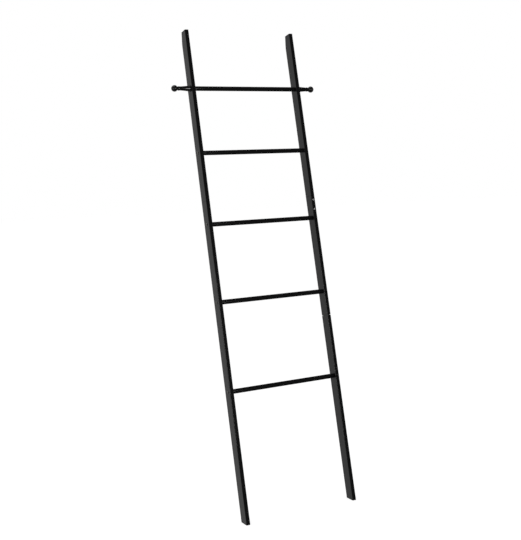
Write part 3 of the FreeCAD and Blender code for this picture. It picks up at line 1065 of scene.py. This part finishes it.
@dataclass
class Finials:
    """The turned finials on the top rung's line: flange, hollowed cone neck, bead and ball.

    A corner's middle point lies in by a share of the softening, and the ball starts under the neck's
    radius by a share of the bead's draft.
    """

    sizes: LadderSizes
    flange_diameter: float = 0.025
    flange_thickness: float = 0.002
    cone_diameter: float = 0.0215
    neck_diameter: float = 0.0144
    neck_reach: float = 0.042
    cone_hollow: float = 0.0004
    bead_width: float = 0.0045
    bead_rise: float = 0.0011
    bead_draft: float = 0.0007
    bead_fullness: float = 5.0
    ball_diameter: float = 0.024
    ball_reach: float = 0.0605
    ball_start: float = 0.2
    bore_diameter: float = 0.0061
    bore_depth: float = 0.016
    bore_point: float = 0.0008
    bore_edge: float = 0.0003
    soften: float = 0.00035
    corner_share: float = 0.3
    cone_steps: int = 20
    bead_steps: int = 12
    ball_steps: int = 40
    steps_round: int = 96

    def outline(self) -> list[Pair]:
        """Half outline from the bore's end, out round the flange and on to the ball's pole.

        Returns:
            Points as (distance from the rail, radius).
        """
        bore, flange, cone = self.bore_diameter / 2, self.flange_diameter / 2, self.cone_diameter / 2
        neck, ball = self.neck_diameter / 2, self.ball_diameter / 2
        edge, face, nip = self.soften, self.flange_thickness, self.soften * self.corner_share
        points = [(self.bore_depth + self.bore_point, 0.0), (self.bore_depth, bore),
                  (self.bore_edge, bore), (0.0, bore + self.bore_edge), (0.0, flange - edge),
                  (nip, flange - nip), (edge, flange), (face - edge, flange),
                  (face - nip, flange - nip), (face, flange - edge), (face, cone + edge)]
        for step in range(self.cone_steps + 1):
            share = step / self.cone_steps
            dip = self.cone_hollow * 4 * share * (1 - share)
            points.append((face + edge + share * (self.neck_reach - edge / 2 - face - edge),
                           cone + (neck - cone) * share - dip))
        for step in range(1, self.bead_steps):
            share = step / self.bead_steps
            crest = (1.0 - abs(2.0 * share - 1.0) ** self.bead_fullness) ** (1.0 / self.bead_fullness)
            points.append((self.neck_reach + self.bead_width * share,
                           neck + self.bead_rise * crest - self.bead_draft * share))
        points.append((self.neck_reach + self.bead_width, neck - self.bead_draft))
        start = math.asin((neck - self.bead_draft * self.ball_start) / ball)
        for step in range(self.ball_steps + 1):
            angle = start + (math.pi - start) * step / self.ball_steps
            points.append((self.ball_reach - ball * math.cos(angle), ball * math.sin(angle)))
        return points

    def build(self, finish: bpy.types.Material) -> None:
        """Turns one finial for each end of the top rung.

        Args:
            finish: their material.
        """
        height = self.sizes.rungs[-1]
        angles = [FULL_TURN * step / self.steps_round for step in range(self.steps_round)]
        for side in Side:
            mesh = RingMesh(self.sizes.place)
            mesh.weave([[(side.value * (self.sizes.rail_span / 2 + reach), radius * math.cos(angle),
                          height + radius * math.sin(angle)) for angle in angles]
                        for reach, radius in self.outline()])
            name = side.label + "_finial"
            fit(mesh.finish(name + "_turned", finish), name)


# ------------------------------------------------------------------ pieces taken over from the solids

@dataclass
class Mouldings:
    """Feet, top caps, joiners, plugs and studs: the solids' own shapes, merged and shaded smooth."""

    merge_width: float = 1e-6
    flat_angle: float = math.radians(0.5)

    def take_over(self, node: bpy.types.Object, suffix: str,
                  finish: bpy.types.Material) -> bpy.types.Object:
        """Copies a solid's mesh, with its loose triangles merged and its flats made single faces.

        Args:
            node: the CAD node's object.
            suffix: what is added to its name.
            finish: the piece's material.

        Returns:
            The linked piece.
        """
        work = bmesh.new()
        work.from_mesh(node.data)
        bmesh.ops.remove_doubles(work, verts=work.verts, dist=self.merge_width)
        bmesh.ops.dissolve_limit(work, angle_limit=self.flat_angle, verts=work.verts, edges=work.edges)
        data = bpy.data.meshes.new(node.name + suffix)
        work.to_mesh(data)
        work.free()
        return smooth_piece(node.name + suffix, data, finish)

    def build(self, nodes: dict[str, bpy.types.Object], finishes: Finishes) -> None:
        """Dresses every moulded or hidden piece.

        Args:
            nodes: the CAD nodes' objects by name.
            finishes: the ladder's finishes.
        """
        on_each_rail = {"foot": ("_moulded", finishes.sole, "foot_plastic"),
                        "top_cap": ("_moulded", finishes.cap, "cap_plastic"),
                        "lower_joiner": ("_rubbed", finishes.joiner, "joiner_coat"),
                        "upper_joiner": ("_rubbed", finishes.joiner, "joiner_coat")}
        dressing = {f"{side.label}_{part}": look
                    for side in Side for part, look in on_each_rail.items()}
        dressing["rung_plugs"] = ("_turned", finishes.plug, "plug_steel")
        dressing["finial_studs"] = ("_rolled", finishes.plated, "plated_stud")
        for name, (suffix, finish, slot) in dressing.items():
            fit(self.take_over(nodes[name], suffix, finish), name)


# ------------------------------------------------------------------ studio

@dataclass(frozen=True)
class Surroundings:
    """The world: white to the camera, soft light all round, and a dimmer room for the gloss.

    The gloss sees a pale backdrop behind the ladder on its left and a pale panel beside it on the right.
    Their limits are parts of a direction, across and towards the wall.
    """

    backdrop: float = 0.46
    side_panel: float = 0.55
    room: float = 0.045
    fill: float = 0.55
    backdrop_across: Pair = (0.25, -0.05)
    backdrop_depth: Pair = (-0.55, -0.10)
    panel_across: Pair = (0.72, 0.94)

    def build(self) -> None:
        """Makes the world and its nodes."""
        world = bpy.data.worlds.new("studio_surroundings")
        bpy.context.scene.world = world
        world.use_nodes = True
        rule = NodeRule(world.node_tree)
        direction = rule.add("ShaderNodeTexCoord").outputs["Generated"]
        parts = rule.add("ShaderNodeSeparateXYZ", {"Vector": direction}).outputs
        path = rule.add("ShaderNodeLightPath").outputs
        behind = rule.maths("MULTIPLY", rule.rise(parts["X"], self.backdrop_across),
                            rule.rise(parts["Y"], self.backdrop_depth))
        gloss = rule.level(rule.rise(parts["X"], self.panel_across),
                           rule.level(behind, self.room, self.backdrop), self.side_panel)
        soft = rule.level(path["Is Glossy Ray"], self.fill, gloss)
        seen = rule.maths("MAXIMUM", path["Is Camera Ray"], path["Is Transmission Ray"])
        back = rule.tree.nodes["Background"].inputs
        rule.feed(back["Strength"], rule.level(seen, soft, 1.0))
        rule.feed(back["Color"], WHITE)


@dataclass(frozen=True)
class PaleFloor:
    """A pale floor that reads as white to the camera and still takes the ladder's shadow."""

    reach: float = 60.0
    sides: int = 96
    dark: Spot = (0.80, 0.80, 0.80)
    pale: Spot = (0.83, 0.83, 0.83)
    grain: Grain = Grain(3.0, 3.0)
    roughness: float = 0.9
    ior: float = 1.2
    glow: float = 0.78
    lit_tone: tuple[float, float, float, float] = (0.42, 0.42, 0.42, 1.0)

    def make(self) -> bpy.types.Material:
        """Builds the material.

        Returns:
            The material, which glows for the camera alone.
        """
        shade = Shade("pale_studio_floor")
        shade.set(Base_Color=shade.blend(shade.span(shade.noise(self.grain)), self.dark, self.pale),
                  Roughness=self.roughness, IOR=self.ior)
        glow = shade.add("ShaderNodeEmission", {"Color": WHITE, "Strength": self.glow})
        soft = shade.add("ShaderNodeBsdfDiffuse", {"Color": self.lit_tone})
        lit = shade.add("ShaderNodeAddShader", {0: glow.outputs[0], 1: soft.outputs[0]})
        path = shade.add("ShaderNodeLightPath")
        mixed = shade.add("ShaderNodeMixShader", {
            0: path.outputs["Is Camera Ray"], 1: shade.surface.outputs[0], 2: lit.outputs[0]})
        shade.feed(shade.tree.nodes["Material Output"].inputs["Surface"], mixed.outputs[0])
        return shade.material

    def build(self) -> None:
        """Lays the floor, unseen in reflections."""
        data = bpy.data.meshes.new("studio_floor")
        work = bmesh.new()
        bmesh.ops.create_circle(work, cap_ends=True, segments=self.sides, radius=self.reach)
        work.to_mesh(data)
        work.free()
        data.materials.append(self.make())
        floor = bpy.data.objects.new("studio_floor", data)
        bpy.context.scene.collection.objects.link(floor)
        floor.visible_glossy = False


@dataclass(frozen=True)
class SoftLamp:
    """A soft rectangular lamp: where it stands, the spot it points at, its width and height, its watts."""

    name: str
    place: Spot
    aim: Spot
    size: Pair
    power: float

    def build(self) -> None:
        """Adds the lamp, out of the camera's sight."""
        data = bpy.data.lights.new(self.name, "AREA")
        data.shape = "RECTANGLE"
        data.size, data.size_y = self.size
        data.energy = self.power
        lamp = bpy.data.objects.new(self.name, data)
        lamp.location = self.place
        lamp.visible_camera = False
        lamp.rotation_euler = (Vector(self.aim) - Vector(self.place)).to_track_quat("-Z", "Y").to_euler()
        bpy.context.scene.collection.objects.link(lamp)


@dataclass(frozen=True)
class PhotographView:
    """The camera at the photograph's angle.

    Its turns are in degrees. Its focal length, its optical centre and the image are in pixels, its sensor
    is in millimetres, and sight is how far it sees.
    """

    azimuth: float = 27.66
    pitch: float = 2.93
    roll: float = -2.84
    place: Spot = (-1.5848, -3.0402, 1.1587)
    focal: float = 924.61
    centre: Pair = (269.47, 238.97)
    image: Pair = (521.0, 540.0)
    sensor: float = 36.0
    sight: float = 200.0

    def build(self) -> None:
        """Makes the camera and looks through it."""
        azimuth, pitch, roll = (math.radians(turn) for turn in (self.azimuth, self.pitch, self.roll))
        ahead = Vector((math.sin(azimuth) * math.cos(pitch), math.cos(azimuth) * math.cos(pitch),
                        -math.sin(pitch)))
        level = Vector((math.cos(azimuth), -math.sin(azimuth), 0.0))
        upright = level.cross(ahead)
        right = level * math.cos(roll) + upright * math.sin(roll)
        up = upright * math.cos(roll) - level * math.sin(roll)
        wide, high = self.image
        data = bpy.data.cameras.new("photograph_view")
        data.sensor_width = self.sensor
        data.lens = self.focal * self.sensor / high
        data.shift_x = (wide / 2 - self.centre[0]) / high
        data.shift_y = -(high / 2 - self.centre[1]) / high
        data.clip_end = self.sight
        camera = bpy.data.objects.new("photograph_view", data)
        turn = Matrix((right, up, -ahead)).transposed()
        camera.matrix_world = Matrix.Translation(self.place) @ turn.to_4x4()
        bpy.context.scene.collection.objects.link(camera)
        bpy.context.scene.camera = camera


@dataclass(frozen=True)
class Studio:
    """The surroundings, the floor, the lamps and the camera."""

    surroundings: Surroundings = Surroundings()
    floor: PaleFloor = PaleFloor()
    lamps: tuple[SoftLamp, ...] = (
        SoftLamp("overhead_softbox", place=(-0.6, 0.4, 3.6), aim=(0.0, 0.0, 0.6), size=(2.4, 2.4),
                 power=14.0),
        SoftLamp("front_strip", place=(0.19, -3.15, 1.0), aim=(-0.25, 0.12, 1.45), size=(0.5, 1.2),
                 power=15.0),
        SoftLamp("left_softbox", place=(-2.3, -1.9, 1.2), aim=(-0.1, 0.12, 1.45), size=(3.2, 1.0),
                 power=14.5))
    view: PhotographView = PhotographView()

    def build(self) -> None:
        """Sets everything up, and shows colours plainly."""
        for fitting in (self.surroundings, self.floor, *self.lamps, self.view):
            fitting.build()
        bpy.context.scene.view_settings.view_transform = "Standard"


# ------------------------------------------------------------------ the ladder


def main() -> None:
    """Loads the fixed frame, builds and dresses every sub-assembly, and sets up the studio."""
    logging.basicConfig(level=logging.INFO, format="%(name)s %(message)s")
    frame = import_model()
    sizes = LadderSizes()
    finishes = Finishes.mixed()
    for side in Side:
        Rail(side, sizes).build(finishes.coat)
    Rungs(sizes).build(finishes.coat)
    Screws(sizes).build(finishes)
    Finials(sizes).build(finishes.finial)
    Mouldings().build(frame["nodes"], finishes)
    Studio().build()


if __name__ == "__main__":
    main()
